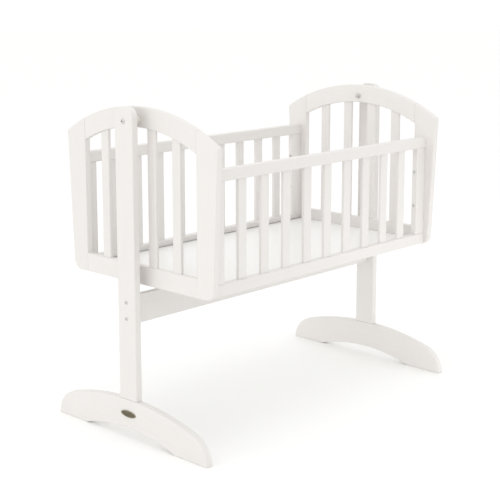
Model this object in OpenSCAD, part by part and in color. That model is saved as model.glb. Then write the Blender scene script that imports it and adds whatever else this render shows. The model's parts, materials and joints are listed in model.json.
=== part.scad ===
// Swinging crib on a stand: a slatted crib that hangs by two pivots
// between the posts of a wooden stand.
// X runs along the crib, Y across it and Z up. The origin is on the floor,
// in the middle of the stand. The left end is at -X and the front at -Y.

/* [Crib] */
// Length inside, between the end panels
crib_inner_l = 900; // [820:10:1000]
// Width over the rails of the two side frames
crib_outer_w = 516; // [500:2:520]
// Height of the crib's underside above the floor
crib_bottom = 414; // [410:1:420]
// Thickness of the end panels
panel_t = 18; // [18:1:22]
// Height of the end panel where its arched top begins
panel_shoulder_z = 800; // [790:1:805]
// Height of the top of the end panel's arch
arch_top_z = 884; // [880:1:888]
// Width of the end panel at the start of its arch
panel_top_w = 580; // [570:2:584]
// Width of the end panel at its bottom edge
panel_bottom_w = 548; // [540:2:566]

/* [Rails and slats] */
// Width of the arched rail, measured along its radius
arch_rail_w = 54; // [52:1:58]
// Height of the end panel's bottom rail
end_rail_h = 51; // [45:1:56]
// Height of the side frames' top and bottom rails
side_rail_h = 31; // [30:1:34]
// Thickness of the side frames' rails
side_rail_t = 22; // [22:1:24]
// Height of the top of the side frames
side_top_z = 742; // [720:1:750]
// Width of the side frames' end stiles
side_stile_w = 39; // [34:1:42]
// Thickness of the side frames' end stiles
side_stile_t = 18; // [16:1:18]
// Width of every slat
slat_w = 30; // [24:1:32]
// Thickness of every slat
slat_t = 10; // [8:1:11]
// Distance between the centres of the side slats
side_slat_pitch = 85; // [72:1:86]
// Distance between the centres of the end slats
end_slat_pitch = 92; // [84:1:96]
// Thickness of the base board
base_t = 6; // [4:1:6]

/* [Stand] */
// Width of the posts
post_w = 68; // [64:1:76]
// Thickness of the posts and feet
post_t = 20; // [18:1:24]
// Height of the top of the posts
post_top_z = 886; // [880:1:900]
// Gap between a post and the end panel beside it
pivot_gap = 29; // [20:1:40]
// Height of the pivots above the floor
pivot_z = 850; // [848:1:854]
// Length of a foot along the floor
foot_l = 592; // [580:2:620]
// Height of the top of a foot
foot_h = 108; // [104:1:112]
// Height of the stretcher's underside
stretcher_z = 313; // [290:1:316]
// Height of the stretcher on edge
stretcher_h = 78; // [70:1:78]
// Thickness of the stretcher
stretcher_t = 18; // [17:1:22]

/* [Hardware] */
// Diameter of the stretcher, foot and side bolts
bolt_d = 6; // [5:0.5:6]
// Diameter of the pivot bolts
pivot_d = 8; // [8:0.5:10]
// Radial clearance of a pivot bolt in its bush
pivot_play = 0.05; // [0.03:0.01:0.08]
// Length of the badge plate
badge_l = 58; // [50:1:70]
// Height of the badge plate
badge_h = 19; // [16:1:24]

/* [Hidden] */
$fn = 48;
cut = 1;                // how far a cutter runs past the face it opens
thread_play = 0.05;     // radial gap between a bolt and its nut
hole_play = 0.25;       // radial gap between a bolt and its hole in the wood
face_gap = 0.3;         // gap between faces of the crib and the stand
edge_r = 2.5;           // rounding along the edges of slats and rails

// Crib layout
end_x = crib_inner_l / 2;                       // inner face of an end panel
panel_x = end_x + panel_t / 2;                  // middle of an end panel
side_y = (crib_outer_w - side_rail_t) / 2;      // middle of a side frame
side_lift = 4;                                  // from the crib's underside to the side frames
side_bottom_z = crib_bottom + side_lift;        // underside of a side frame
stile_inner_y = 215;                            // inner edge of an end stile
panel_corner_r = 28;                            // bottom corners of the end panel
tenon_t = 10;
tenon_l = 18;
tenon_shoulder = 10;                            // above and below a tenon of an end rail
end_tenon_h = end_rail_h - 2 * tenon_shoulder;
mortise_d = 8;                                  // depth of the slat mortises
side_tenon_shoulder = 6;                        // beside a tenon of a side stile
side_tenon_w = side_stile_w - 2 * side_tenon_shoulder;
groove_lift = 6;                                // from a side rail's underside to its groove
groove_spare = 2;                               // how much a groove is higher than the base board
base_gap = 1;                                   // gap around the base board

// The arch is a circle through the two shoulders and the top
arch_rise = arch_top_z - panel_shoulder_z;
arch_r = (pow(panel_top_w / 2, 2) + pow(arch_rise, 2)) / (2 * arch_rise);
arch_centre_z = arch_top_z - arch_r;
arch_inner_r = arch_r - arch_rail_w;

// Stand layout
post_inner_x = end_x + panel_t + pivot_gap;
post_outer_x = post_inner_x + post_t;
post_corner_r = 25;
foot_top_r = 850;                               // curve of a foot's top edge
foot_tip_r = 80;                                // rounding of a foot's ends
foot_arch_half = 178;                           // half the span between floor pads
foot_arch_h = 28;                               // height of the arch under a foot
foot_tip_y = foot_l / 2 - foot_tip_r;
foot_top_centre_z = foot_h - foot_top_r;
foot_tip_z = foot_top_centre_z + sqrt(pow(foot_top_r - foot_tip_r, 2) - pow(foot_tip_y, 2));
foot_tangent_y = foot_tip_y * foot_top_r / (foot_top_r - foot_tip_r);
foot_arch_r = (pow(foot_arch_half, 2) + pow(foot_arch_h, 2)) / (2 * foot_arch_h);

// Hardware sizes
head_d = 10.5;
head_h = 3.3;
socket_d = 4.6;                                 // across the corners of the hex socket
socket_depth = 2;
barrel_d = 10;
barrel_l = 14;
barrel_inset = 30;                              // end of the board to the barrel
stretcher_bolt_pitch = 44;
stretcher_bolt_zs = [for (s = [-1, 1]) stretcher_z + stretcher_h / 2 + s * stretcher_bolt_pitch / 2];
foot_bolt_y = 20;
saddle_d = 10;                                  // how far a post's blank reaches into its foot
bolt_reach = 8;                                 // how far a bolt runs past its nut's centre
bore_reach = 12;                                // how far its hole runs past it
foot_recess_d = 15;
foot_recess_z = 40;                             // where a foot bolt's head seats
pivot_head_d = 14;
pivot_head_h = 4.4;
pivot_reach = 2;                                // how far a pivot bolt runs past its nut
bush_d = 12;
bush_flange_d = 20;
bush_flange_t = 1.5;
spacer_d = 22;
washer_d = 16;
washer_t = 1.6;
nut_w = 13;
nut_h = 8;
side_bolt_zs = [538, 640];
insert_d = 11;
insert_l = 13;
insert_gap = 1;                                 // from a side bolt's end to its insert's end
badge_t = 1.6;
badge_rim = 2;

// Names
ends = ["left", "right"];
sides = ["front", "back"];
end_slats = 4;
side_slats = 9;

function direction(index) = 2 * index - 1;      // -1 for left and front, 1 for right and back
function end_slat_y(i) = (i - (end_slats + 1) / 2) * end_slat_pitch;
function side_slat_x(i) = (i - (side_slats + 1) / 2) * side_slat_pitch;
function arch_under_z(y) = arch_centre_z + sqrt(pow(arch_inner_r, 2) - pow(y, 2));

// Shared shapes

// A rectangle with round corners, centred on the origin
module rounded_rect(w, h, r) {
    square([w - 2 * r, h], center = true);
    square([w, h - 2 * r], center = true);
    for (x = [-1, 1], y = [-1, 1])
        translate([x * (w / 2 - r), y * (h / 2 - r)]) circle(r);
}

// A round hole or pin along X, from x0 to x1
module rod_x(d, x0, x1) {
    translate([x0, 0, 0]) rotate([0, 90, 0]) cylinder(d = d, h = x1 - x0);
}

// An outline drawn in Y and Z, given a thickness along X from x0
module board_x(x0, t) {
    translate([x0, 0, 0]) rotate([90, 0, 90]) linear_extrude(t) children();
}

// A button head with a hex socket: its seat is at z = 0 and its dome at -Z
module button_head(d, h) {
    dome_r = (pow(d / 2, 2) + pow(h, 2)) / (2 * h);
    difference() {
        intersection() {
            translate([0, 0, dome_r - h]) sphere(dome_r);
            translate([0, 0, -h]) cylinder(d = d, h = h);
        }
        translate([0, 0, -h - cut]) cylinder(d = socket_d, h = socket_depth + cut, $fn = 6);
    }
}

// A bolt along +Z with its head's seat at z = 0
module bolt(d, l, top_d, top_h) {
    button_head(top_d, top_h);
    cylinder(d = d, h = l);
}

// A cross-drilled barrel nut along +X, drilled along Z
module barrel_nut() {
    difference() {
        rod_x(barrel_d, 0, barrel_l);
        translate([barrel_l / 2, 0, -barrel_d])
            cylinder(d = bolt_d + 2 * thread_play, h = 2 * barrel_d);
    }
}

// Puts what is made for the right end at either end
module at_end(e) {
    if (e == 0) mirror([1, 0, 0]) children();
    else children();
}

// Puts what is made for the back at either side
module at_side(s) {
    if (s == 0) mirror([0, 1, 0]) children();
    else children();
}

// Stand

// The curved outline of a foot in Y and Z
module foot_outline() {
    difference() {
        intersection() {
            translate([0, foot_top_centre_z]) circle(foot_top_r, $fn = 200);
            translate([-foot_l / 2, 0]) square([foot_l, foot_h]);
            foot_ends();
        }
        translate([0, foot_arch_h - foot_arch_r]) circle(foot_arch_r, $fn = 160);
    }
}

// The round ends of a foot, which run on smoothly from the curve of its top
module foot_ends() {
    for (s = [-1, 1]) translate([s * foot_tip_y, foot_tip_z]) circle(foot_tip_r, $fn = 96);
    translate([-foot_tangent_y, 0]) square([2 * foot_tangent_y, foot_h]);
}

// One foot, with recessed holes for its bolts
module foot(e) {
    color("white") at_end(e) difference() {
        board_x(post_inner_x, post_t) foot_outline();
        for (s = [-1, 1]) translate([post_inner_x + post_t / 2, s * foot_bolt_y, 0]) {
            cylinder(d = bolt_d + 2 * hole_play, h = foot_h + cut);
            cylinder(d = foot_recess_d, h = foot_recess_z);
        }
    }
}

// One post, with its foot cut to the curve of the foot board
module post(e) {
    mid_z = (post_top_z + foot_h) / 2;
    color("white") at_end(e) difference() {
        board_x(post_inner_x, post_t) difference() {
            union() {
                translate([-post_w / 2, foot_h - saddle_d])
                    square([post_w, post_top_z - foot_h + saddle_d - post_corner_r]);
                translate([-post_w / 2 + post_corner_r, mid_z])
                    square([post_w - 2 * post_corner_r, post_top_z - mid_z]);
                for (s = [-1, 1])
                    translate([s * (post_w / 2 - post_corner_r), post_top_z - post_corner_r])
                        circle(post_corner_r);
            }
            translate([0, foot_top_centre_z]) circle(foot_top_r, $fn = 200);
        }
        translate([0, 0, pivot_z])
            rod_x(pivot_d + 2 * hole_play, post_inner_x - cut, post_outer_x + cut);
        for (z = stretcher_bolt_zs) translate([0, 0, z])
            rod_x(bolt_d + 2 * hole_play, post_inner_x - cut, post_outer_x + cut);
        for (s = [-1, 1])
            translate([post_inner_x + post_t / 2, s * foot_bolt_y, foot_h - saddle_d])
                cylinder(d = insert_d, h = saddle_d + insert_l);
    }
}

module stretcher() {
    bore_depth = barrel_inset + bore_reach;
    color("white") difference() {
        translate([-post_inner_x, -stretcher_t / 2, stretcher_z])
            cube([2 * post_inner_x, stretcher_t, stretcher_h]);
        for (e = [0, 1], z = stretcher_bolt_zs) at_end(e) translate([0, 0, z]) {
            rod_x(bolt_d + 2 * hole_play, post_inner_x - bore_depth, post_inner_x + cut);
            translate([post_inner_x - barrel_inset, -barrel_l / 2, 0]) rotate([-90, 0, 0])
                cylinder(d = barrel_d, h = stretcher_t);
        }
    }
}

module stretcher_bolts() {
    color("silver") for (e = [0, 1], z = stretcher_bolt_zs) at_end(e)
        translate([post_outer_x, 0, z]) rotate([0, -90, 0])
            bolt(bolt_d, post_t + barrel_inset + bolt_reach, head_d, head_h);
}

module stretcher_barrel_nuts() {
    color("silver") for (e = [0, 1], z = stretcher_bolt_zs) at_end(e)
        translate([post_inner_x - barrel_inset, -barrel_l / 2, z])
            rotate([90, 0, 90]) barrel_nut();
}

module foot_bolts() {
    color("silver") for (e = [0, 1], s = [-1, 1]) at_end(e)
        translate([post_inner_x + post_t / 2, s * foot_bolt_y, foot_recess_z])
            bolt(bolt_d, foot_h - foot_recess_z + insert_l - insert_gap, head_d, head_h);
}

// Threaded inserts in the end grain of the posts
module foot_bolt_inserts() {
    color("silver") for (e = [0, 1], s = [-1, 1]) at_end(e)
        translate([post_inner_x + post_t / 2, s * foot_bolt_y, foot_h]) difference() {
            cylinder(d = insert_d, h = insert_l);
            translate([0, 0, -cut]) cylinder(d = bolt_d + 2 * thread_play, h = insert_l + 2 * cut);
        }
}

// Pivots

module pivot_bolts() {
    nut_end = post_t + pivot_gap + panel_t + face_gap + washer_t + nut_h;
    color("silver") for (e = [0, 1]) at_end(e)
        translate([post_outer_x, 0, pivot_z]) rotate([0, -90, 0])
            bolt(pivot_d, nut_end + pivot_reach, pivot_head_d, pivot_head_h);
}

module pivot_spacers() {
    color("gainsboro") for (e = [0, 1]) at_end(e) translate([0, 0, pivot_z]) difference() {
        rod_x(spacer_d, end_x + panel_t + bush_flange_t + face_gap, post_inner_x);
        rod_x(pivot_d + 2 * thread_play, end_x, post_inner_x + cut);
    }
}

module pivot_washers() {
    color("silver") for (e = [0, 1]) at_end(e)
        translate([end_x - face_gap - washer_t, 0, pivot_z]) difference() {
            rod_x(washer_d, 0, washer_t);
            rod_x(pivot_d + 2 * thread_play, -cut, washer_t + cut);
        }
}

module pivot_lock_nuts() {
    hex_d = nut_w / cos(30);
    color("silver") for (e = [0, 1]) at_end(e)
        translate([end_x - face_gap - washer_t - nut_h, 0, pivot_z]) difference() {
            rotate([0, 90, 0]) cylinder(d = hex_d, h = nut_h, $fn = 6);
            rod_x(pivot_d + 2 * thread_play, -cut, nut_h + cut);
        }
}

module pivot_bushes() {
    color("gainsboro") for (e = [0, 1]) at_end(e) translate([0, 0, pivot_z]) difference() {
        union() {
            rod_x(bush_d, end_x, end_x + panel_t);
            rod_x(bush_flange_d, end_x + panel_t, end_x + panel_t + bush_flange_t);
        }
        rod_x(pivot_d + 2 * pivot_play, end_x - cut, end_x + panel_t + bush_flange_t + cut);
    }
}

// A blank oval plate with a raised rim on the left foot
module badge_plate() {
    color("dimgray") translate([-post_outer_x, 0, foot_arch_h + (foot_h - foot_arch_h) / 2])
        mirror([1, 0, 0]) difference() {
            board_x(0, badge_t) oval(badge_l, badge_h);
            board_x(badge_t / 2, badge_t) oval(badge_l - 2 * badge_rim, badge_h - 2 * badge_rim);
        }
}

// An oval of 60 points
module oval(l, h) {
    polygon([for (i = [0:59]) [l / 2 * cos(6 * i), h / 2 * sin(6 * i)]]);
}

// End panels

// The whole outline of an end panel in Y and Z, with its arched top
module panel_outline() {
    intersection() {
        union() {
            polygon([
                [-panel_bottom_w / 2 + panel_corner_r, crib_bottom],
                [panel_bottom_w / 2 - panel_corner_r, crib_bottom],
                [panel_bottom_w / 2, crib_bottom + panel_corner_r],
                [panel_top_w / 2, panel_shoulder_z],
                [panel_top_w / 2, arch_top_z],
                [-panel_top_w / 2, arch_top_z],
                [-panel_top_w / 2, panel_shoulder_z],
                [-panel_bottom_w / 2, crib_bottom + panel_corner_r]
            ]);
            for (s = [-1, 1])
                translate([s * (panel_bottom_w / 2 - panel_corner_r), crib_bottom + panel_corner_r])
                    circle(panel_corner_r);
        }
        translate([0, arch_centre_z]) circle(arch_r, $fn = 200);
    }
}

// The tenons of the arched rail and the bottom rail, as cutters or as solids
module end_tenons() {
    for (s = [-1, 1], z = [crib_bottom, arch_under_z(stile_inner_y)])
        translate([panel_x, s * (stile_inner_y + tenon_l / 2), z + tenon_shoulder + end_tenon_h / 2])
            cube([tenon_t, tenon_l, end_tenon_h], center = true);
}

// Blind holes for the threaded inserts of the side bolts
module insert_holes() {
    for (z = side_bolt_zs) translate([0, side_y, z]) rod_x(insert_d, end_x - cut, end_x + insert_l);
}

module end_stile(e, s) {
    color("white") at_end(e) at_side(s) difference() {
        board_x(end_x, panel_t) intersection() {
            panel_outline();
            translate([stile_inner_y, 0]) square([panel_top_w, 2 * arch_top_z]);
        }
        end_tenons();
        insert_holes();
    }
}

module end_arch_rail(e) {
    color("white") at_end(e) difference() {
        union() {
            board_x(end_x, panel_t) difference() {
                intersection() {
                    translate([0, arch_centre_z]) circle(arch_r, $fn = 200);
                    translate([-stile_inner_y, arch_centre_z]) square([2 * stile_inner_y, arch_r + cut]);
                }
                translate([0, arch_centre_z]) circle(arch_inner_r, $fn = 200);
            }
            intersection() {
                end_tenons();
                translate([0, -arch_top_z, (crib_bottom + arch_top_z) / 2]) cube(2 * arch_top_z);
            }
        }
        for (i = [1:end_slats]) end_slat_bar(i);
        translate([0, 0, pivot_z]) rod_x(bush_d, end_x - cut, end_x + panel_t + cut);
    }
}

module end_bottom_rail(e) {
    color("white") at_end(e) difference() {
        union() {
            translate([end_x, -stile_inner_y, crib_bottom])
                cube([panel_t, 2 * stile_inner_y, end_rail_h]);
            intersection() {
                end_tenons();
                translate([0, -arch_top_z, crib_bottom])
                    cube([2 * arch_top_z, 2 * arch_top_z, end_rail_h]);
            }
        }
        for (i = [1:end_slats]) end_slat_bar(i);
    }
}

// One slat of an end panel, with its ends in both rails
module end_slat_bar(i) {
    y = end_slat_y(i);
    z0 = crib_bottom + end_rail_h - mortise_d;
    z1 = arch_under_z(abs(y) + slat_w / 2) + 2 * mortise_d;
    translate([panel_x, y, z0]) linear_extrude(z1 - z0) rounded_rect(slat_t, slat_w, edge_r);
}

module end_slat(e, i) {
    color("white") at_end(e) end_slat_bar(i);
}

// Side frames

// A rail of a side frame along X, with its underside at z
module side_rail(z) {
    translate([-end_x, side_y, z + side_rail_h / 2]) rotate([90, 0, 90])
        linear_extrude(crib_inner_l) rounded_rect(side_rail_t, side_rail_h, edge_r);
}

// The tenons of a side frame's end stiles
module side_tenons() {
    z0 = side_bottom_z + side_rail_h - mortise_d;
    for (d = [-1, 1]) translate([d * (end_x - side_stile_w / 2), side_y, z0])
        translate([-side_tenon_w / 2, -tenon_t / 2, 0])
            cube([side_tenon_w, tenon_t, side_top_z - side_rail_h + mortise_d - z0]);
}

module side_top_rail(s) {
    color("white") at_side(s) difference() {
        side_rail(side_top_z - side_rail_h);
        for (i = [1:side_slats]) side_slat_bar(i);
        side_tenons();
    }
}

// The bottom rail has a groove along its inner face for the base board
module side_bottom_rail(s) {
    groove_h = base_t + groove_spare;
    groove_z = side_bottom_z + groove_lift;
    color("white") at_side(s) difference() {
        side_rail(side_bottom_z);
        for (i = [1:side_slats]) side_slat_bar(i);
        side_tenons();
        translate([-end_x - cut, side_y - side_rail_t / 2 - cut, groove_z])
            cube([crib_inner_l + 2 * cut, mortise_d + cut, groove_h]);
    }
}

module side_end_stile(s, e) {
    z0 = side_bottom_z + side_rail_h;
    color("white") at_side(s) at_end(e) difference() {
        union() {
            translate([end_x - side_stile_w, side_y - side_stile_t / 2, z0])
                cube([side_stile_w, side_stile_t, side_top_z - side_rail_h - z0]);
            intersection() {
                side_tenons();
                cube(2 * end_x);
            }
        }
        for (z = side_bolt_zs) translate([0, side_y, z])
            rod_x(bolt_d + 2 * hole_play, end_x - side_stile_w - cut, end_x + cut);
    }
}

// One slat of a side frame, with its ends in both rails
module side_slat_bar(i) {
    z0 = side_bottom_z + side_rail_h - mortise_d;
    z1 = side_top_z - side_rail_h + mortise_d;
    translate([side_slat_x(i), side_y, z0])
        linear_extrude(z1 - z0) rounded_rect(slat_w, slat_t, edge_r);
}

module side_slat(s, i) {
    color("white") at_side(s) side_slat_bar(i);
}

// The base board lies in the grooves and just clears their ends
module base_board() {
    w = crib_outer_w - 2 * side_rail_t + 2 * (mortise_d - base_gap);
    l = crib_inner_l - 2 * base_gap;
    color("white") translate([-l / 2, -w / 2, side_bottom_z + groove_lift]) cube([l, w, base_t]);
}

module side_bolts() {
    color("silver") for (s = [0, 1], e = [0, 1], z = side_bolt_zs) at_side(s) at_end(e)
        translate([end_x - side_stile_w, side_y, z]) rotate([0, 90, 0])
            bolt(bolt_d, side_stile_w + insert_l - insert_gap, head_d, head_h);
}

module side_bolt_inserts() {
    color("silver") for (s = [0, 1], e = [0, 1], z = side_bolt_zs) at_side(s) at_end(e)
        translate([0, side_y, z]) difference() {
            rod_x(insert_d, end_x, end_x + insert_l);
            rod_x(bolt_d + 2 * thread_play, end_x - cut, end_x + insert_l + cut);
        }
}

// Drawing

post(0);  // left_post
post(1);  // right_post
foot(0);  // left_foot
foot(1);  // right_foot
stretcher();
stretcher_bolts();
stretcher_barrel_nuts();
foot_bolts();
foot_bolt_inserts();
pivot_bolts();
pivot_spacers();
pivot_washers();
pivot_lock_nuts();
badge_plate();
for (e = [0, 1]) {
    for (s = [0, 1])
        end_stile(e, s);
    end_arch_rail(e);
    end_bottom_rail(e);
    for (i = [1:end_slats])
        end_slat(e, i);
}
for (s = [0, 1]) {
    side_top_rail(s);
    side_bottom_rail(s);
    for (e = [0, 1])
        side_end_stile(s, e);
    for (i = [1:side_slats])
        side_slat(s, i);
}
base_board();
side_bolts();
side_bolt_inserts();
pivot_bushes();
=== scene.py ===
# %% [markdown]
# # A white swinging crib on its stand
# The crib hangs by two pivots between two posts, so it rocks from side to side. Nearly
# all of it is solid beech under white lacquer: boards with softened edges, held by
# mortises and tenons and by a few bolts.
# The CAD model already holds every board as a piece with its true size. This lesson
# adds what makes such pieces look real: softened edges, hairline joints, turned steel
# hardware, and a finish for each material.

# %% Load the frame
import json
import math
import random

import bmesh
import bpy
from mathutils import Matrix, Vector
from mathutils.bvhtree import BVHTree


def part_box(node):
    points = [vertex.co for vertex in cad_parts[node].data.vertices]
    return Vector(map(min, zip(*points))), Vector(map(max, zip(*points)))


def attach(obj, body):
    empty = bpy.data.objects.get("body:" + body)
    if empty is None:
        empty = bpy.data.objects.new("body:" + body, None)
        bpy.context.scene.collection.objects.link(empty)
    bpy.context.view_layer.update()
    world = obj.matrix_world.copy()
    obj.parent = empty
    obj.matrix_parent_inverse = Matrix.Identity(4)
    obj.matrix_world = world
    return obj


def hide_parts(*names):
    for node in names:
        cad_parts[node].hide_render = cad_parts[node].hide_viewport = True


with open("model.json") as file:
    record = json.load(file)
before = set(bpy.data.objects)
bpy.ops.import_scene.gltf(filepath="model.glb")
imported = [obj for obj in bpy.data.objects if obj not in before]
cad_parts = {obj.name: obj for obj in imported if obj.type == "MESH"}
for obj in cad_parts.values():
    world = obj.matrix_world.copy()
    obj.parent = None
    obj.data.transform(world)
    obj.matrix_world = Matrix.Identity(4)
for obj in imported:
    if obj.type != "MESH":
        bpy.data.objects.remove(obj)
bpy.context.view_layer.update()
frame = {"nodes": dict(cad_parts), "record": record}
MM = 0.001
X, Y, Z = 0, 1, 2
body_of = {node: body for body, nodes in frame["record"]["behaviour"]["bodies"].items() for node in nodes}
slot_of = {part["node"]: part["material_slot"] for part in frame["record"]["subparts"]}

# %% [markdown]
# ## Camera, floor and light
# A catalogue view of furniture is taken with a long lens from a little above the top
# rail, so upright boards stay nearly upright. Tilting a camera down makes uprights lean
# in. A view camera, or here a small lens shift, takes part of that lean out again.
# The shift is kept small, so the same camera can also go round the object.

# %% Camera
camera = bpy.data.objects.new("camera", bpy.data.cameras.new("camera"))
bpy.context.scene.collection.objects.link(camera)
camera.data.sensor_width = 36
camera.data.lens = 85.69
camera.data.shift_y = -0.10
camera.location = (-2.491, -2.299, 1.193)
heading, tilt = 43.23, 10.28  # degrees from +X towards +Y, and down
camera.rotation_euler = (math.radians(90 - tilt), 0, math.radians(heading - 90))
bpy.context.scene.camera = camera
print("camera stands", round(camera.location.length, 2), "m from the middle of the floor")

# %% [markdown]
# Every material below is a small tree of nodes. One function adds a node with its
# settings and its links, and another turns the hex colours of a paint card, which are
# sRGB, to the linear values that a renderer works with. The rest name the few patterns
# that every material repeats. Noise is sized in metres on the object's own coordinates,
# so a pattern keeps its real size on every piece.

# %% Nodes and colours
def linear(code):
    """A hex colour in sRGB as linear red, green, blue and alpha."""
    parts = [int(code[i:i + 2], 16) / 255 for i in (1, 3, 5)]
    return [p / 12.92 if p <= 0.04045 else ((p + 0.055) / 1.055) ** 2.4 for p in parts] + [1.0]


def add_node(tree, kind, inputs=None, **settings):
    """Adds a node. An input is a value, or another node's output to link it to."""
    node = tree.nodes.new(kind)
    for name, value in settings.items():
        setattr(node, name, value)
    for socket, value in (inputs or {}).items():
        if isinstance(value, bpy.types.NodeSocket):
            tree.links.new(value, node.inputs[socket])
        else:
            node.inputs[socket].default_value = value
    return node


def new_material(name, **shader_inputs):
    """A material with one Principled shader. Returns the material, its tree and the shader."""
    material = bpy.data.materials.new(name)
    material.use_nodes = True
    tree = material.node_tree
    tree.nodes.clear()
    shader = add_node(tree, "ShaderNodeBsdfPrincipled",
                      {key.replace("_", " "): value for key, value in shader_inputs.items()})
    add_node(tree, "ShaderNodeOutputMaterial", {"Surface": shader.outputs[0]})
    return material, tree, shader


def object_place(tree):
    """The object's own coordinates."""
    return add_node(tree, "ShaderNodeTexCoord").outputs["Object"]


def noise(tree, place, size, **inputs):
    """Noise with features of about a size."""
    return add_node(tree, "ShaderNodeTexNoise", {"Vector": place, "Scale": 1 / size, **inputs}).outputs[0]


def mark(tree, name):
    """A mark that the faces of a mesh carry, from 0 to 1."""
    return add_node(tree, "ShaderNodeAttribute", attribute_name=name).outputs["Fac"]


def scaled(tree, value, factor):
    """A value times a factor."""
    return add_node(tree, "ShaderNodeMath", {0: value, 1: factor}, operation="MULTIPLY").outputs[0]


def ranged(tree, value, low, high, start=0.3, stop=0.7):
    """The span of a noise, start to stop, stretched to run from low to high."""
    return add_node(tree, "ShaderNodeMapRange", {0: value, 1: start, 2: stop, 3: low, 4: high}).outputs[0]


def mixed(tree, amount, first, second):
    """A mix of two colours. Each is a hex colour or another node's output."""
    first, second = (linear(colour) if isinstance(colour, str) else colour for colour in (first, second))
    return add_node(tree, "ShaderNodeMix", {0: amount, 6: first, 7: second}, data_type="RGBA").outputs[2]


def coat_shader(tree, shader, colour, roughness, relief, depth, strength):
    """Gives a shader its colour, its roughness and a fine relief of some depth."""
    normal = add_node(tree, "ShaderNodeBump",
                      {"Height": relief, "Distance": depth, "Strength": strength}).outputs[0]
    for socket, value in (("Base Color", colour), ("Roughness", roughness), ("Normal", normal)):
        tree.links.new(value, shader.inputs[socket])


print("mid grey #808080 is", round(linear("#808080")[0], 3), "in linear light")

# %% [markdown]
# The floor is a wide sheet of matt white board, and the room is white all round. A
# large soft lamp stands far beyond the crib's left end, low enough to reach the far foot
# under the crib. So the ends are a little brighter than the long side. A smaller lamp
# fills that side, a narrow one reaches under the crib, and one above the left end lifts
# the base board.

# %% Floor and lamps
FLOOR_RADIUS = 30  # metres, so its rim is never in view
floor_material, floor_tree, floor_shader = new_material("matt_white_board", Roughness=0.9)
floor_fleck = noise(floor_tree, object_place(floor_tree), 1 / 3, Detail=2.0)
floor_tree.links.new(mixed(floor_tree, floor_fleck, "#FAFAF9", "#FCFCFB"), floor_shader.inputs["Base Color"])

sheet = bmesh.new()
bmesh.ops.create_circle(sheet, cap_ends=True, segments=96, radius=FLOOR_RADIUS)
floor_mesh = bpy.data.meshes.new("floor")
sheet.to_mesh(floor_mesh)
sheet.free()
floor = bpy.data.objects.new("floor", floor_mesh)
floor_mesh.materials.append(floor_material)
bpy.context.scene.collection.objects.link(floor)

world = bpy.data.worlds.new("white_room")
world.use_nodes = True
world.node_tree.nodes["Background"].inputs["Color"].default_value = (1, 1, 1, 1)
world.node_tree.nodes["Background"].inputs["Strength"].default_value = 1.04
bpy.context.scene.world = world
bpy.context.scene.view_settings.view_transform = "Standard"


def soft_lamp(name, place, target, size, power):
    """A square lamp at a place, turned towards a target."""
    lamp = bpy.data.objects.new(name, bpy.data.lights.new(name, "AREA"))
    lamp.data.shape = "SQUARE"
    lamp.data.size = size
    lamp.data.energy = power
    lamp.visible_camera = False
    lamp.location = place
    lamp.rotation_euler = (Vector(place) - Vector(target)).to_track_quat("Z", "Y").to_euler()
    bpy.context.scene.collection.objects.link(lamp)
    return lamp


middle = Vector((0, 0, 0.5))
soft_lamp("left_lamp", (-8, 1.5, 2.2), middle, 4.0, 74)
soft_lamp("front_lamp", (-0.3, -3.5, 0.8), (0, 0, 0.4), 1.5, 3.5)
low_lamp = soft_lamp("low_lamp", (-0.3, -1.8, 0.35), (0.5, -0.1, 0.2), 0.6, 0.4)
low_lamp.data.spread = math.radians(50)
soft_lamp("top_lamp", (-0.5, -0.1, 3.2), middle, 1.8, 9)

# %% [markdown]
# ## White lacquer on beech
# The boards are sprayed with a white satin lacquer. Its gloss is low and even, and the
# beech shows through only as faint streaks along the grain. On the softened edges the
# spray lies thinner and a little warmer.
# A painted image could show all that, but it would blur close up. Noise that is
# stretched along the grain works at any distance. Beech pores are about 0.5 mm wide,
# too fine to show from here, so the streaks are drawn about 3 mm wide and 90 mm long.

# %% Lacquer
STREAK_WIDTH, STREAK_LENGTH = 3 * MM, 90 * MM


def lacquered_beech(name, grain_axis):
    """White satin lacquer over beech whose grain runs along X, Y or Z (0, 1 or 2)."""
    material, tree, shader = new_material(name, IOR=1.5)
    place = object_place(tree)
    stretch = [1 / STREAK_WIDTH] * 3
    stretch[grain_axis] = 1 / STREAK_LENGTH
    along = add_node(tree, "ShaderNodeMapping", {"Vector": place, "Scale": stretch}).outputs[0]
    streaks = noise(tree, along, 1.0, Detail=3.0, Roughness=0.55)
    # The coat's thickness drifts over about 80 mm, a spray gun's fan
    drift = noise(tree, place, 80 * MM, Detail=2.0)
    coat = mixed(tree, drift, "#E1DEDB", "#E5E2DF")
    # Each board takes the lacquer a little differently
    toned = mixed(tree, mark(tree, "board_tone"), coat, "#E0DDDA")
    faint = ranged(tree, streaks, 0.0, 0.28, start=0.35, stop=0.75)
    grained = mixed(tree, faint, toned, "#DAD6D2")
    worn = mixed(tree, scaled(tree, mark(tree, "soft_edge"), 0.35), grained, "#DDD8D1")
    # Dust in the hairlines between boards, with painted shade that stands for a deeper gap
    dusted_and_shaded = mixed(tree, scaled(tree, mark(tree, "joint_dust_and_shade"), 0.75), worn, "#A39D95")
    coat_shader(tree, shader, dusted_and_shaded, ranged(tree, streaks, 0.36, 0.46), streaks, 0.12 * MM, 0.6)
    return material


lacquer = [lacquered_beech(f"white_lacquer_grain_{axis}", i) for i, axis in enumerate("xyz")]
print("lacquers:", [material.name for material in lacquer])

# %% [markdown]
# ## Boards with softened edges
# A joiner runs a rounding cutter along each board before the boards are joined, but
# not where two boards meet: there the faces must stay flush, and the joint closes to a
# hairline. Modelling each board afresh would risk leaving the CAD sizes. Instead a
# copy of the CAD board is merged, its flat faces are made whole, and its edges are
# sorted by one question: does this edge touch another board?

# %% Whole copies of the CAD boards
WELD = 0.002 * MM  # points closer than this are one point
FLAT = math.radians(0.4)  # faces that turn less than this are one face


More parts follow.
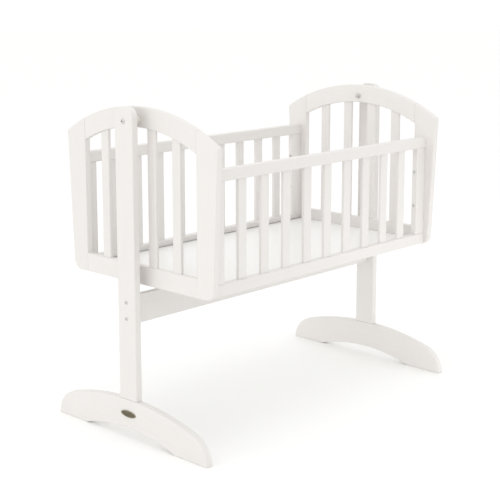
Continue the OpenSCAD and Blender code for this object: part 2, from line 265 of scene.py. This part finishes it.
def whole_copy(node):
    """A merged copy of a CAD node, with its flat faces in one piece."""
    shape = bmesh.new()
    shape.from_mesh(frame["nodes"][node].data)
    bmesh.ops.remove_doubles(shape, verts=shape.verts, dist=WELD)
    bmesh.ops.dissolve_limit(shape, angle_limit=FLAT, verts=shape.verts, edges=shape.edges)
    return shape


boards = [node for node in body_of if slot_of[node] in ("white_wood", "white_board")]
surfaces = {}
for node in boards:
    copy = whole_copy(node)
    surfaces[node] = BVHTree.FromBMesh(copy)
    copy.free()
print("boards:", len(boards))

# %% [markdown]
# The outline of a board is its sharp outward edges. Rims of bolt holes and mortises are
# sharp as well, but a cutter doesn't follow them. They form short closed chains, so the
# chains are gathered first and those under 45 mm across are left out.

# %% Outline of a board
SHARP = math.radians(40)  # an edge that turns more than this is sharp
HOLE = 45 * MM  # a chain of edges smaller than this is the rim of a hole
NEAR = 0.3 * MM  # an edge this close to another board meets it


def board_outline(shape):
    """The sharp outward edges of a board, without the rims of holes and mortises."""
    left = {e for e in shape.edges if len(e.link_faces) == 2
            and e.calc_face_angle_signed(0) > SHARP}
    outline = []
    while left:
        chain, ends = [], [left.pop()]
        while ends:
            edge = ends.pop()
            chain.append(edge)
            near = {e for v in edge.verts for e in v.link_edges} & left
            left -= near
            ends += near
        points = [v.co for edge in chain for v in edge.verts]
        across = [max(p[i] for p in points) - min(p[i] for p in points) for i in range(3)]
        if Vector(across).length > HOLE:
            outline += chain
    return outline


def neighbours(node):
    """The boards whose boxes touch this one's."""
    low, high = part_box(node)
    found = []
    for other in boards:
        other_low, other_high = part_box(other)
        if other != node and all(low[i] < other_high[i] + MM and high[i] > other_low[i] - MM
                                 for i in range(3)):
            found.append(other)
    return found


def touches(edge, others):
    """Whether the middle of an edge lies on another board."""
    point = (edge.verts[0].co + edge.verts[1].co) / 2
    return any(surfaces[other].find_nearest(point, NEAR)[0] for other in others)


print("boards that meet the left post:", neighbours("left_post"))

# %% [markdown]
# Bevelling comes in two passes: the free edges get the cutter's radius, then the edges
# that touch get a 0.6 mm chamfer, which two boards together turn into a fine shadow
# line; its faces are also painted darker, as dust and painted shade. A long edge that is
# partly covered is first cut where the cover ends, so the rounding stops there. Normals
# are weighted by face area, so that the broad faces stay flat and only the roundings
# shade smoothly.

# %% Soften one board
HAIRLINE = 0.6 * MM
POST_EDGE, FOOT_EDGE, STRETCHER_EDGE = 3 * MM, 2.2 * MM, 2 * MM
PANEL_EDGE, SIDE_EDGE, BASE_EDGE = 2.5 * MM, 2 * MM, 0.5 * MM


def soften(node, radius, material, cuts=(), fixed=True):
    """Remakes a board with rounded free edges and hairline joints, and shows it instead of the node."""
    shape = whole_copy(node)
    for axis, place in cuts:
        point, normal = Vector(), Vector()
        point[axis], normal[axis] = place, 1
        bmesh.ops.bisect_plane(shape, geom=[*shape.verts, *shape.edges, *shape.faces],
                               plane_co=point, plane_no=normal, dist=0.01 * MM)
    tone = shape.faces.layers.float.new("board_tone")
    edge_mark = shape.faces.layers.float.new("soft_edge")
    joint_dust_shade_mark = shape.faces.layers.float.new("joint_dust_and_shade")
    value = random.Random(node).random()
    for face in shape.faces:
        face[tone] = value
    others = neighbours(node) if fixed else []
    free = [edge for edge in board_outline(shape) if not touches(edge, others)]
    if free and radius:
        made = bmesh.ops.bevel(shape, geom=free, offset=radius, segments=4, profile=0.5, affect="EDGES",
                               material=-1, clamp_overlap=False, loop_slide=False)
        for face in made["faces"]:
            face[edge_mark] = 1
    joints = [edge for edge in board_outline(shape) if touches(edge, others)]
    if joints:
        made = bmesh.ops.bevel(shape, geom=joints, offset=HAIRLINE, segments=1, profile=0.5, affect="EDGES",
                               material=-1, clamp_overlap=True, loop_slide=False)
        # The chamfer faces are marked for dust and painted shade in the joint
        for face in made["faces"]:
            face[joint_dust_shade_mark] = 1
    bmesh.ops.dissolve_degenerate(shape, edges=shape.edges, dist=WELD)
    show_instead(shape, f"{node}_board", material, node)
    return len(free), len(joints)


def show_instead(shape, name, material, node):
    """Makes a mesh object of a shape, on the body of the CAD node that it replaces, and hides the node."""
    mesh = bpy.data.meshes.new(name)
    shape.to_mesh(mesh)
    shape.free()
    mesh.shade_smooth()
    mesh.set_sharp_from_angle(angle=SHARP)
    mesh.materials.append(material)
    piece = bpy.data.objects.new(name, mesh)
    bpy.context.scene.collection.objects.link(piece)
    weighted = piece.modifiers.new("flat faces stay flat", "WEIGHTED_NORMAL")
    weighted.keep_sharp = True
    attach(piece, body_of[node])
    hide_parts(node)
    return piece


print("helpers ready, hairline", HAIRLINE / MM, "mm")

# %% [markdown]
# ## The stand
# The posts get a 3 mm rounding, the stretcher 2 mm and the feet 2.2 mm, because the bolt
# recesses leave just 2.5 mm of wood beside them. A foot's top edge is free apart from
# the stretch under the post, so it is cut at both sides of the post.

# %% Soften the stand
for end in ("left", "right"):
    post_low, post_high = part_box(f"{end}_post")
    print(end, "post:", soften(f"{end}_post", POST_EDGE, lacquer[Z]))
    print(end, "foot:", soften(f"{end}_foot", FOOT_EDGE, lacquer[Y], [(Y, post_low.y), (Y, post_high.y)]))
print("stretcher:", soften("stretcher", STRETCHER_EDGE, lacquer[X]))

# %% [markdown]
# ## The end panels
# Each end is a frame of two stiles, a bottom rail and an arched top rail, with four
# slats between the rails. A stile's inner edge is free only between the rails, so it
# is cut at the top of the bottom rail and at the foot of the arch.

# %% Soften the end panels
for end in ("left", "right"):
    rail_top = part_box(f"{end}_end_bottom_rail")[1].z
    arch_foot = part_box(f"{end}_end_arch_rail")[0].z
    for side in ("front", "back"):
        print(end, side, "stile:", soften(f"{end}_end_{side}_stile", PANEL_EDGE, lacquer[Z],
                                          [(Z, rail_top), (Z, arch_foot)]))
    print(end, "arch:", soften(f"{end}_end_arch_rail", PANEL_EDGE, lacquer[Y]))
    print(end, "bottom rail:", soften(f"{end}_end_bottom_rail", PANEL_EDGE, lacquer[Y]))
    for i in range(1, 5):
        soften(f"{end}_end_slat_{i}", 0, lacquer[Z])

# %% [markdown]
# ## The side frames
# The rails and slats come rounded from the moulder, and the CAD has that rounding, so
# only their joints are treated here. The flat stiles at the ends get 2 mm.

# %% Soften the side frames
for side in ("front", "back"):
    for rail in ("top", "bottom"):
        print(side, rail, "rail:", soften(f"{side}_side_{rail}_rail", 0, lacquer[X]))
    for end in ("left", "right"):
        print(side, end, "stile:", soften(f"{side}_side_{end}_stile", SIDE_EDGE, lacquer[Z]))
    for i in range(1, 10):
        soften(f"{side}_side_slat_{i}", 0, lacquer[Z])

# %% [markdown]
# ## The base board
# The mattress lies on a thin chipboard with a white melamine face. That paper is
# pressed against a steel plate, so it is whiter, smoother and a little glossier than
# the lacquer, with an even ripple of about 2 mm instead of grain.

# %% Base board
melamine, melamine_tree, melamine_shader = new_material("white_melamine_face", IOR=1.5)
board_place = object_place(melamine_tree)
ripple = noise(melamine_tree, board_place, 2 * MM, Detail=1.0)
cloud = noise(melamine_tree, board_place, 150 * MM, Detail=2.0)
coat_shader(melamine_tree, melamine_shader, mixed(melamine_tree, cloud, "#F0F0EE", "#F4F3F1"),
            ranged(melamine_tree, cloud, 0.29, 0.36), ripple, 0.03 * MM, 0.5)
print("base board:", soften("base_board", BASE_EDGE, melamine, fixed=False))

# %% [markdown]
# ## Turned hardware
# The crib is held by button head bolts with hex sockets, and each kind of round part is
# turned: one half profile, spun about its axis. The spin has 48 steps, because a
# hexagon with its sides cut in eight also has 48 corners. So a hex socket bridges to a
# round head without a single odd face.

# %% Turned shapes
SPIN_STEPS = 48
HEX_CUTS = SPIN_STEPS // 6 - 1


def turned(profile, closed=False):
    """Spins a half profile, given in millimetres as (radius, height), about Z."""
    shape = bmesh.new()
    points = [shape.verts.new((radius * MM, 0, height * MM)) for radius, height in profile]
    pairs = list(zip(points, points[1:])) + ([(points[-1], points[0])] if closed else [])
    lines = [shape.edges.new(pair) for pair in pairs]
    bmesh.ops.spin(shape, geom=points + lines, axis=(0, 0, 1), cent=(0, 0, 0), angle=math.tau,
                   steps=SPIN_STEPS, use_merge=True)
    bmesh.ops.remove_doubles(shape, verts=shape.verts, dist=WELD)
    bmesh.ops.recalc_face_normals(shape, faces=shape.faces)
    return shape


def aimed(place, way):
    """A matrix that carries a shape to a place and turns its +Z to point a given way."""
    return Matrix.Translation(place) @ Vector(way).to_track_quat("Z", "Y").to_matrix().to_4x4()


def show_set(fitting, spots, name, material, node):
    """One piece made of a copy of the fitting at each spot."""
    pattern = bpy.data.meshes.new("pattern")
    fitting.to_mesh(pattern)
    fitting.free()
    whole = bmesh.new()
    for spot in spots:
        before = len(whole.verts)
        whole.from_mesh(pattern)
        whole.verts.ensure_lookup_table()
        bmesh.ops.transform(whole, matrix=spot, verts=whole.verts[before:])
    bpy.data.meshes.remove(pattern)
    return show_instead(whole, name, material, node)


print("spin steps", SPIN_STEPS, "hexagon corners after cutting", 6 * (HEX_CUTS + 1))

# %% [markdown]
# Zinc plating is a thin bright coat with a faint blue or straw tint that changes from
# spot to spot. Handling dulls it unevenly, so roughness follows a fine noise. The
# socket and the nut's bore are painted darker, as painted shade in the recess, and a
# spanner or key rubs the edges bright. Both are marked on the mesh as face attributes,
# so the material finds them.

# %% Zinc-plated steel
zinc, zinc_tree, zinc_shader = new_material("zinc_plated_steel", Metallic=1.0)
zinc_place = object_place(zinc_tree)
tint = noise(zinc_tree, zinc_place, 4 * MM, Detail=3.0)
scuff = noise(zinc_tree, zinc_place, 0.5 * MM, Detail=2.0)
zinc_coat = mixed(zinc_tree, tint, "#C9CACA", "#D3D1CB")
zinc_rubbed = mixed(zinc_tree, mark(zinc_tree, "rubbed"), zinc_coat, "#DEDDDB")
# Painted shade: the socket and the nut's bore are mixed darker
zinc_socket_shaded = mixed(zinc_tree, mark(zinc_tree, "socket"), zinc_rubbed, "#CAC8C4")
coat_shader(zinc_tree, zinc_shader, zinc_socket_shaded, ranged(zinc_tree, scuff, 0.32, 0.48), scuff, 0.02 * MM, 0.5)
print("material:", zinc.name)

# %% [markdown]
# A bolt is one profile: the dome of its head, the seat, the shank, then rings for the
# thread and a chamfered tip. Real threads are helical, but rings of the same pitch look
# the same at any distance from which a crib is seen. The socket goes into the opening that
# the profile leaves in the top of the head.

# %% One button head bolt
# Standard button heads, in millimetres. The key is measured across its corners.
M6 = {"size": 6, "pitch": 1.0, "head": 10.5, "height": 3.3, "key": 4.6}
M8 = {"size": 8, "pitch": 1.25, "head": 14, "height": 4.4, "key": 4.6}
THREADED = 20  # millimetres of thread at the tip
TIP = 0.9  # its chamfer
SOCKET_DEPTH = 2 * MM


def button_bolt(length, size, pitch, head, height, key):
    """A bolt along +Z with its seat at 0. All sizes are in millimetres."""
    dome = (head ** 2 / 4 + height ** 2) / (2 * height)
    mouth = 0.62 * key
    steps = [mouth + (0.48 * head - mouth) * i / 8 for i in range(9)]
    profile = [(r, dome - height - math.sqrt(dome ** 2 - r ** 2)) for r in steps]
    profile += [(head / 2, -0.25), (head / 2, -0.1), (head / 2 - 0.1, 0)]
    profile += [(size / 2 + 0.25, 0), (size / 2, 0.25)]
    rings = int(THREADED / pitch)
    for i in range(rings):
        start = length - TIP - (rings - i) * pitch
        profile += [(size / 2, start + 0.15 * pitch), (size / 2 - 0.6 * pitch, start + 0.55 * pitch)]
    profile += [(size / 2, length - TIP), (size / 2 - TIP, length), (0, length)]
    shape = turned(profile)
    marks = [shape.faces.layers.float.new(name) for name in ("socket", "rubbed")]
    for face in shape.faces:
        face[marks[1]] = float(-0.3 * MM < face.calc_center_median().z < 0)
    rim = [edge for edge in shape.edges if edge.is_boundary]
    mouth_height = profile[0][1]
    hexagon = bmesh.ops.create_circle(shape, segments=6, radius=key / 2 * MM,
                                      matrix=Matrix.Translation((0, 0, mouth_height * MM)))["verts"]
    sides = list({edge for vert in hexagon for edge in vert.link_edges})
    bmesh.ops.subdivide_edges(shape, edges=sides, cuts=HEX_CUTS)
    mouth_edges = [edge for edge in shape.edges if edge.is_wire]
    bmesh.ops.bridge_loops(shape, edges=rim + mouth_edges)
    walls = bmesh.ops.extrude_edge_only(shape, edges=mouth_edges)["geom"]
    low = [item for item in walls if isinstance(item, bmesh.types.BMVert)]
    bmesh.ops.translate(shape, verts=low, vec=(0, 0, SOCKET_DEPTH))
    bottom = [item for item in walls if isinstance(item, bmesh.types.BMEdge)]
    deep = bmesh.ops.edgeloop_fill(shape, edges=bottom)
    drilled = bmesh.ops.poke(shape, faces=deep["faces"], offset=0.5 * MM)
    bmesh.ops.recalc_face_normals(shape, faces=shape.faces)
    # The socket's walls and floor are marked for painted shade
    for face in drilled["faces"] + [item for item in walls if isinstance(item, bmesh.types.BMFace)]:
        face[marks[0]] = 1
    return shape


trial = button_bolt(58, **M6)
print("one bolt has", len(trial.faces), "faces and", sum(e.is_boundary for e in trial.edges), "open edges")
trial.free()

# %% [markdown]
# Where the bolts go is read from the CAD's boxes, so the heads stay on their boards if
# the design changes. Heads point outward on the posts, down in the feet, and towards the
# crib's middle on the side frames.

# %% Bolts
HEAD_RADIUS = M6["head"] / 2 * MM
PAST_BARREL = 13 * MM  # a bolt goes 3 mm past its 10 mm barrel nut


def both_ends(node, axis, inset):
    """The two places along an axis that lie an inset inside a node's box."""
    low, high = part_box(node)
    return low[axis] + inset, high[axis] - inset


outer_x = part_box("left_post")[0].x
post_mid_x = (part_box("left_post")[0].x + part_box("left_post")[1].x) / 2
side_seat_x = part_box("front_side_left_stile")[1].x
side_mid_y = (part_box("front_side_left_stile")[0].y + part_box("front_side_left_stile")[1].y) / 2
foot_seat_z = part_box("foot_bolts")[0].z + M6["height"] * MM
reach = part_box("stretcher_barrel_nuts")[0].x + PAST_BARREL - outer_x
show_set(button_bolt(reach / MM, **M6),
         [aimed((s * outer_x, 0, z), (s, 0, 0)) for s in (1, -1)
          for z in both_ends("stretcher_bolts", Z, HEAD_RADIUS)],
         "stretcher_bolt_set", zinc, "stretcher_bolts")
reach = side_seat_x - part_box("side_bolts")[0].x
show_set(button_bolt(reach / MM, **M6),
         [aimed((s * side_seat_x, t * side_mid_y, z), (-s, 0, 0)) for s in (1, -1) for t in (1, -1)
          for z in both_ends("side_bolts", Z, HEAD_RADIUS)],
         "side_bolt_set", zinc, "side_bolts")
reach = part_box("foot_bolts")[1].z - foot_seat_z
show_set(button_bolt(reach / MM, **M6),
         [aimed((s * post_mid_x, y, foot_seat_z), (0, 0, 1)) for s in (1, -1)
          for y in both_ends("foot_bolts", Y, HEAD_RADIUS)],
         "foot_bolt_set", zinc, "foot_bolts")
print("heads sit at x", outer_x, "and", side_seat_x, "and at z", round(foot_seat_z, 4))

# %% [markdown]
# ## The pivots
# Each pivot is an M8 bolt through the post. A moulded nylon spacer keeps the crib clear of
# the post, the arched rail turns on a nylon bush, and a washer and a lock nut close the
# stack inside. All of them share one axis, so they are turned from profiles as well.
# Moulded nylon is matt and slightly translucent, with rounded rims from its mould.

# %% Pivots
nylon, nylon_tree, nylon_shader = new_material("moulded_nylon", IOR=1.53, Subsurface_Weight=0.05,
                                               Subsurface_Scale=2 * MM)
nylon_place = object_place(nylon_tree)
flow = noise(nylon_tree, nylon_place, 9 * MM, Detail=2.0, Distortion=0.6)
mould = noise(nylon_tree, nylon_place, 0.3 * MM)
coat_shader(nylon_tree, nylon_shader, mixed(nylon_tree, flow, "#E0DED7", "#E9E7E1"),
            ranged(nylon_tree, flow, 0.42, 0.55), mould, 0.02 * MM, 0.4)

BORE = 4.1  # millimetres, a radius that clears the M8 bolt
PIVOT_BOLT = 80.9  # millimetres under the head, 2 more than the CAD's
PLAY = 0.3 * MM  # between the crib and what stands beside it
WASHER = 1.6  # millimetres thick
pivot_height = (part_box("pivot_spacers")[0].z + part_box("pivot_spacers")[1].z) / 2
post_inner_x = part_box("left_post")[1].x
bush_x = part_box("pivot_bushes")[0].x
spacer_end = bush_x - PLAY
washer_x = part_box("left_end_arch_rail")[1].x + PLAY
nut_x = washer_x + WASHER * MM


def on_pivots(x):
    """The spots for a fitting on the left pivot at x and its twin on the right one."""
    return [aimed((s * x, 0, pivot_height), (s, 0, 0)) for s in (1, -1)]


show_set(button_bolt(PIVOT_BOLT, **M8), on_pivots(outer_x), "pivot_bolt_set", zinc, "pivot_bolts")
length = (spacer_end - post_inner_x) / MM
show_set(turned([(BORE, 0.4), (BORE + 0.4, 0), (10.2, 0), (10.8, 0.2), (11, 0.8), (11, length - 0.8),
                 (10.8, length - 0.2), (10.2, length), (BORE + 0.4, length), (BORE, length - 0.4)],
                closed=True),
         on_pivots(post_inner_x), "pivot_spacer_set", nylon, "pivot_spacers")
show_set(turned([(BORE, 0.3), (BORE + 0.3, 0), (9.3, 0), (9.8, 0.2), (10, 0.7), (10, 1.5), (6, 1.5),
                 (6, 19.1), (5.6, 19.5), (BORE + 0.3, 19.5), (BORE, 19.2)], closed=True),
         on_pivots(bush_x), "pivot_bush_set", nylon, "pivot_bushes")
show_set(turned([(BORE, 0.2), (BORE + 0.2, 0), (7.9, 0), (8, 0.1), (8, 1.1), (7.8, 1.4), (7.4, WASHER),
                 (BORE + 0.3, WASHER), (BORE, 1.3)], closed=True),
         on_pivots(washer_x), "pivot_washer_set", zinc, "pivot_washers")
print("pivots at z", round(pivot_height, 4), "spacers", round(length, 2), "mm long")

# %% [markdown]
# A lock nut is a hexagon whose corners are turned off by a 30 degree chamfer, with a
# round collar that holds a nylon ring. The collar and bore are turned first. Then two
# hexagons are bridged to it, and every point of a hexagon sinks by how far it stands
# out, which is what the chamfer does.

# %% Lock nuts
COLLAR_RADIUS, HALF_FLATS, HEX_TOP = 6.1, 6.5, 5.6  # millimetres
CHAMFER = math.radians(30)
collar = [(COLLAR_RADIUS, HEX_TOP), (5.9, 5.7), (5.9, 7.1), (5.7, 7.7), (5.2, 8), (4.7, 7.9),
          (4.6, 7.5), (BORE, 7.4), (BORE, 0.5), (4.6, 0), (COLLAR_RADIUS, 0)]
nut = turned(collar)
loops = [[e for e in nut.edges if e.is_boundary and (e.verts[0].co.z > HEX_TOP / 2 * MM) == upper]
         for upper in (False, True)]
hexes = []
for height, lift in ((0, 1), (HEX_TOP, -1)):
    corners = bmesh.ops.create_circle(nut, segments=6, radius=HALF_FLATS / math.cos(math.pi / 6) * MM,
                                      matrix=Matrix.Translation((0, 0, height * MM)))["verts"]
    bmesh.ops.subdivide_edges(nut, edges=list({e for v in corners for e in v.link_edges}), cuts=HEX_CUTS)
    fresh = [e for e in nut.edges if e.is_wire and all(e not in known for known in hexes)]
    hexes.append(fresh)
    for vert in {v for e in fresh for v in e.verts}:
        vert.co.z += lift * (vert.co.xy.length - COLLAR_RADIUS * MM) * math.tan(CHAMFER)
for pair in ((loops[0], hexes[0]), (hexes[0], hexes[1]), (hexes[1], loops[1])):
    bmesh.ops.bridge_loops(nut, edges=pair[0] + pair[1])
bmesh.ops.recalc_face_normals(nut, faces=nut.faces)
nut_marks = [nut.faces.layers.float.new(name) for name in ("socket", "rubbed")]
for face in nut.faces:
    out = face.calc_center_median().xy.length
    # The bore is marked for painted shade, the outer corners as rubbed
    face[nut_marks[0]] = 0.8 * float(out < 4.65 * MM)
    face[nut_marks[1]] = float(6.2 * MM < out)
print("nut faces:", len(nut.faces), "open edges:", sum(e.is_boundary for e in nut.edges))
show_set(nut, on_pivots(nut_x), "pivot_lock_nut_set", zinc, "pivot_lock_nuts")

# %% [markdown]
# ## Barrel nuts
# The stretcher bolts end in cross barrels. Their ends show in the back of the stretcher,
# with a slot for the screwdriver that turns them into line. The end face is cut by two
# planes and the strip between them is pushed in.

# %% Barrel nuts
BARREL_RADIUS, BARREL_LENGTH = 5, 14  # millimetres
SLOT_HALF, SLOT_DEPTH = 0.6 * MM, 1.2 * MM
nut_low, nut_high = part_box("stretcher_barrel_nuts")
barrel = turned([(0, 0), (BARREL_RADIUS - 0.5, 0), (BARREL_RADIUS, 0.5),
                 (BARREL_RADIUS, BARREL_LENGTH - 0.5), (BARREL_RADIUS - 0.5, BARREL_LENGTH),
                 (0, BARREL_LENGTH)])
for place in (-SLOT_HALF, SLOT_HALF):
    bmesh.ops.bisect_plane(barrel, geom=[*barrel.verts, *barrel.edges, *barrel.faces],
                           plane_co=(place, 0, 0), plane_no=(1, 0, 0), dist=0.001 * MM)
middles = {f: f.calc_center_median() for f in barrel.faces}
strip = [f for f, point in middles.items()
         if point.z > (BARREL_LENGTH - 0.01) * MM and abs(point.x) < SLOT_HALF]
pushed = bmesh.ops.extrude_face_region(barrel, geom=strip)["geom"]
bmesh.ops.delete(barrel, geom=strip, context="FACES")
bmesh.ops.translate(barrel, verts=[v for v in pushed if isinstance(v, bmesh.types.BMVert)],
                    vec=(0, 0, -SLOT_DEPTH))
bmesh.ops.recalc_face_normals(barrel, faces=barrel.faces)
show_set(barrel, [aimed((x, nut_low.y, z), (0, 1, 0))
                  for x in both_ends("stretcher_barrel_nuts", X, BARREL_RADIUS * MM)
                  for z in both_ends("stretcher_barrel_nuts", Z, BARREL_RADIUS * MM)],
         "stretcher_barrel_nut_set", zinc, "stretcher_barrel_nuts")
for node in ("foot_bolt_inserts", "side_bolt_inserts"):
    frame["nodes"][node].data.materials.clear()
    frame["nodes"][node].data.materials.append(zinc)
print("barrels in the stretcher:", nut_low, nut_high)

# %% [markdown]
# ## The badge
# A small oval plate sits on the foot of the left stand. It is left blank here. The rim
# stands proud and is rubbed bright, and the field inside keeps its dark patina, finely
# stippled by the casting.

# %% Badge
bronze, bronze_tree, bronze_shader = new_material("dark_bronze", Metallic=0.85)
bronze_place = object_place(bronze_tree)
stipple = noise(bronze_tree, bronze_place, 0.9 * MM, Detail=2.0)
patina = noise(bronze_tree, bronze_place, 7 * MM, Detail=3.0)
bronze_field = mixed(bronze_tree, patina, "#5B5648", "#7C7460")
bronze_tone = mixed(bronze_tree, mark(bronze_tree, "rubbed"), bronze_field, "#AFA68F")
coat_shader(bronze_tree, bronze_shader, bronze_tone, ranged(bronze_tree, patina, 0.34, 0.52),
            stipple, 0.08 * MM, 0.6)

EASED, RIM = 0.5 * MM, 1.2 * MM  # widths of the eased shoulder and of the rim
SLOPE, SUNK = 0.3 * MM, 0.8 * MM  # width of the rim's inner side, and how deep the field lies
badge_low, badge_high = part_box("badge_plate")
badge_size = badge_high - badge_low
plate = bmesh.new()
rubbed = plate.faces.layers.float.new("rubbed")
bmesh.ops.create_circle(plate, cap_ends=True, segments=96, radius=0.5)
bmesh.ops.scale(plate, vec=(badge_size.y, badge_size.z, 1), verts=plate.verts)
raised = bmesh.ops.extrude_face_region(plate, geom=plate.faces[:])["geom"]
bmesh.ops.translate(plate, verts=[v for v in raised if isinstance(v, bmesh.types.BMVert)],
                    vec=(0, 0, badge_size.x))
bmesh.ops.recalc_face_normals(plate, faces=plate.faces)
top = max(plate.faces, key=lambda f: f.calc_center_median().z)
shoulder = bmesh.ops.inset_region(plate, faces=[top], thickness=EASED, depth=0)["faces"]
rim = bmesh.ops.inset_region(plate, faces=[top], thickness=RIM, depth=0)["faces"]
wall = bmesh.ops.inset_region(plate, faces=[top], thickness=SLOPE, depth=-SUNK)["faces"]
outer_loop = [e for e in plate.edges if len(e.link_faces) == 2
              and abs(e.calc_face_angle(0) - math.pi / 2) < 0.1 and e.verts[0].co.z > badge_size.x / 2]
for face in shoulder + rim:
    face[rubbed] = 1
for face in wall:
    face[rubbed] = 0.4
bmesh.ops.bevel(plate, geom=outer_loop, offset=0.4 * MM, segments=3, profile=0.5, affect="EDGES", material=-1)
bmesh.ops.poke(plate, faces=[f for f in plate.faces if len(f.verts) > 8], offset=0)
badge_spot = Matrix.Translation((outer_x, 0, (badge_low.z + badge_high.z) / 2)) @ Matrix.Rotation(
    math.radians(-90), 4, "Y") @ Matrix.Rotation(math.radians(-90), 4, "Z")
bmesh.ops.transform(plate, matrix=badge_spot, verts=plate.verts)
show_instead(plate, "badge", bronze, "badge_plate")
print("badge is", [round(side / MM, 1) for side in badge_size], "mm")
